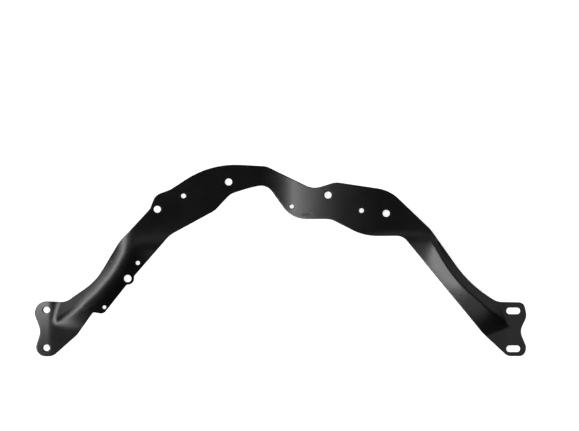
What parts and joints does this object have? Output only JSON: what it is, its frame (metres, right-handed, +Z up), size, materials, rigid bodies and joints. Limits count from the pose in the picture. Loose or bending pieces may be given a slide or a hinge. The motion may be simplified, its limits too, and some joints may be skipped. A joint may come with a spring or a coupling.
{
  "type": "engine cowl brace",
  "caption": "Arched pressed sheet-metal brace with a joggled web, two ridged arms and drooping end pads, one with slotted holes, that ties the suspension towers together.",
  "frame": {"origin": "centre of the bounding box in plan, at the height of the surface that the brace lies on", "axes": "+X along the span from the round-holed pad to the slotted pad, +Y from the pads to the web, +Z up, away from the surface that the brace lies on"},
  "size_m": [1.0075, 0.3929, 0.0403],
  "materials": {
    "black_coat": "satin black electrocoat"
  },
  "bodies": {
    "root": {"cowl_brace": "black_coat"}
  },
  "joints": []
}
